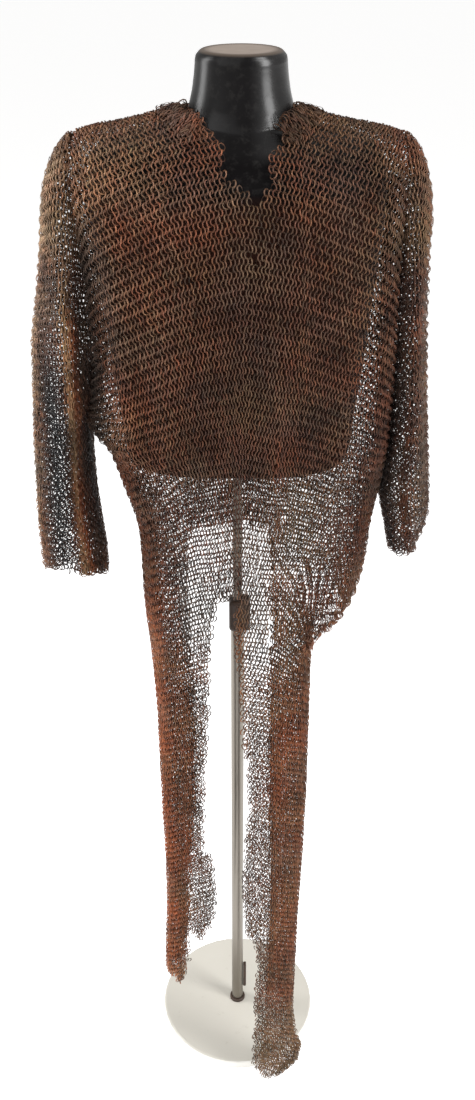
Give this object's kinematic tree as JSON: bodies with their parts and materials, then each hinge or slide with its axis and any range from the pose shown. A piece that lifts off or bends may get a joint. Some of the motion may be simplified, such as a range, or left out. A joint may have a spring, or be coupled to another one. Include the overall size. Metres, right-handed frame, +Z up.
{
  "type": "chainmail hauberk on dress form stand",
  "caption": "Long-sleeved mail shirt of linked iron rings with a worn skirt in two hanging strips, on a limbless dress form that turns and slides on a telescopic pole with a round base",
  "frame": {"origin": "middle of the round base's flat underside, on the pole's axis and on the surface that the stand stands on", "axes": "+Z up along the pole; the wearer faces -Y; +X is the wearer's left"},
  "size_m": [0.5023, 0.2799, 1.5255],
  "materials": {
    "mail": "rusted, matte",
    "form": "gloss black",
    "cap": "matte",
    "base": "satin white",
    "steel": "brushed",
    "fittings": "matte black"
  },
  "bodies": {
    "stand": {"base": "base", "foot_ring": "fittings", "lower_tube": "steel", "tube_plug": "fittings", "clamp_collar": "fittings"},
    "bush": {"bush": "fittings"},
    "figure": {"riser_tube": "steel", "dress_form": "form", "neck_cap": "cap", "mail_front": "mail", "mail_back": "mail", "mail_sleeve_right": "mail", "mail_sleeve_left": "mail", "mail_skirt_front_right": "mail", "mail_skirt_front_left": "mail", "mail_skirt_back_right": "mail", "mail_skirt_back_left": "mail", "mail_collar_right": "mail", "mail_collar_left": "mail"}
  },
  "joints": [
    {"name": "turn", "type": "hinge", "parent": "stand", "child": "bush", "pos_m": [0, 0, 0.8], "axis": [0, 0, 1], "continuous": true},
    {"name": "height", "type": "slide", "parent": "bush", "child": "figure", "axis": [0, 0, 1], "range_m": [0, 0.25]}
  ]
}
